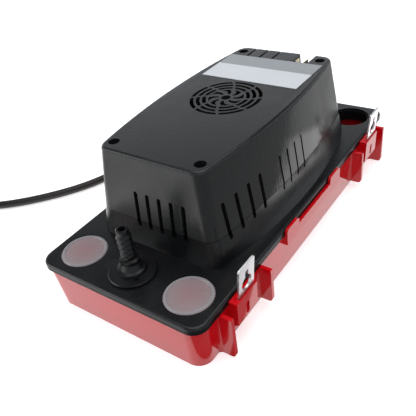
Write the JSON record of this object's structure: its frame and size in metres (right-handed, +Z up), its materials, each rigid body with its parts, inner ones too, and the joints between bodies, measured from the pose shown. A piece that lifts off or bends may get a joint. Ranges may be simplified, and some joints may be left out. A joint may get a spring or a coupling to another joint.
{
  "type": "condensate pump",
  "caption": "Low-profile condensate pump: shallow tank, lid with motor tower and fan grille, barbed outlet with check valve, float switch, wall hangers and cord.",
  "frame": {"origin": "middle of the tank's underside, on the surface it stands on", "axes": "+Z up, +Y along the tank away from the outlet end, +X towards the long side that carries the wall hangers"},
  "size_m": [0.3464, 0.4236, 0.1014],
  "materials": {
    "tank_plastic": "moulded, glossy",
    "lid_plastic": "moulded, satin",
    "cover_plastic": "moulded, satin",
    "screw_steel": "zinc plated",
    "cap_plastic": "translucent natural plastic",
    "valve_plastic": "moulded",
    "ball_steel": "polished",
    "fitting_plastic": "moulded, satin",
    "seal_rubber": "plain",
    "hanger_steel": "zinc plated sheet",
    "label_film": "plain printed film, left bare",
    "stack_steel": "stacked sheets",
    "winding": "enamelled copper wire",
    "rotor_aluminium": "cast and turned",
    "shaft_steel": "ground",
    "bar_steel": "pressed sheet",
    "fan_plastic": "moulded",
    "pump_plastic": "moulded",
    "impeller_plastic": "moulded",
    "tube_vinyl": "soft clear tube",
    "float_foam": "blown float",
    "arm_plastic": "moulded",
    "switch_case": "moulded",
    "terminal_brass": "stamped",
    "cord_vinyl": "vinyl jacket",
    "tie_nylon": "nylon band",
    "plug_vinyl": "moulded vinyl"
  },
  "bodies": {
    "housing": {"tank": "tank_plastic", "tank_lid": "lid_plastic", "motor_cover": "cover_plastic", "cover_screws": "screw_steel", "check_valve_body": "valve_plastic", "hanger_front": "hanger_steel", "hanger_rear": "hanger_steel", "rating_label": "label_film", "stator_stack": "stack_steel", "stator_coil": "winding", "lower_bearing_bar": "bar_steel", "upper_bearing_bar": "bar_steel", "motor_bolts": "screw_steel", "pump_housing": "pump_plastic", "intake_strainer": "pump_plastic", "discharge_tube": "tube_vinyl", "float_pin": "shaft_steel", "float_switch": "switch_case", "safety_switch": "switch_case", "switch_terminals": "terminal_brass", "strain_relief": "cord_vinyl", "power_cord": "cord_vinyl", "cord_coil": "cord_vinyl", "cord_tie": "tie_nylon", "power_plug": "plug_vinyl", "plug_pins": "terminal_brass"},
    "rotor": {"motor_rotor": "rotor_aluminium", "motor_shaft": "shaft_steel", "cooling_fan": "fan_plastic", "pump_impeller": "impeller_plastic"},
    "float_lever": {"float": "float_foam", "float_arm": "arm_plastic"},
    "switch_push_rod": {"switch_rod": "arm_plastic"},
    "switch_arm": {"switch_lever": "terminal_brass"},
    "valve_ball": {"check_ball": "ball_steel"},
    "outlet": {"outlet_fitting": "fitting_plastic", "outlet_seal": "seal_rubber"},
    "cap_front_left": {"inlet_cap_front_left": "cap_plastic"},
    "cap_front_right": {"inlet_cap_front_right": "cap_plastic"},
    "cap_rear_left": {"inlet_cap_rear_left": "cap_plastic"}
  },
  "joints": [
    {"name": "rotor_spin", "type": "hinge", "parent": "housing", "child": "rotor", "pos_m": [0, 0, 0.0715], "axis": [0, 0, 1], "continuous": true},
    {"name": "float_swing", "type": "hinge", "parent": "housing", "child": "float_lever", "pos_m": [0, 0.064, 0.028], "axis": [1, 0, 0], "range_deg": [0, 12]},
    {"name": "rod_slide", "type": "slide", "parent": "housing", "child": "switch_push_rod", "axis": [0, 0, 1], "range_m": [0, 0.003]},
    {"name": "switch_arm_swing", "type": "hinge", "parent": "housing", "child": "switch_arm", "pos_m": [-0.012, 0.076, 0.0584], "axis": [0, 1, 0], "range_deg": [-15, 0]},
    {"name": "ball_lift", "type": "slide", "parent": "housing", "child": "valve_ball", "axis": [0, 0, 1], "range_m": [0, 0.004]},
    {"name": "outlet_twist", "type": "hinge", "parent": "housing", "child": "outlet", "pos_m": [0, -0.1184, 0.037], "axis": [0, 0, 1], "range_deg": [0, 60]},
    {"name": "cap_front_left_lift", "type": "slide", "parent": "housing", "child": "cap_front_left", "axis": [0, 0, 1], "range_m": [0, 0.025]},
    {"name": "cap_front_right_lift", "type": "slide", "parent": "housing", "child": "cap_front_right", "axis": [0, 0, 1], "range_m": [0, 0.025]},
    {"name": "cap_rear_left_lift", "type": "slide", "parent": "housing", "child": "cap_rear_left", "axis": [0, 0, 1], "range_m": [0, 0.025]}
  ],
  "couplings": [
    {"joint": "rod_slide", "follows": "float_swing", "m_per_rad": 0.0134},
    {"joint": "switch_arm_swing", "follows": "float_swing", "ratio": -1.2}
  ]
}
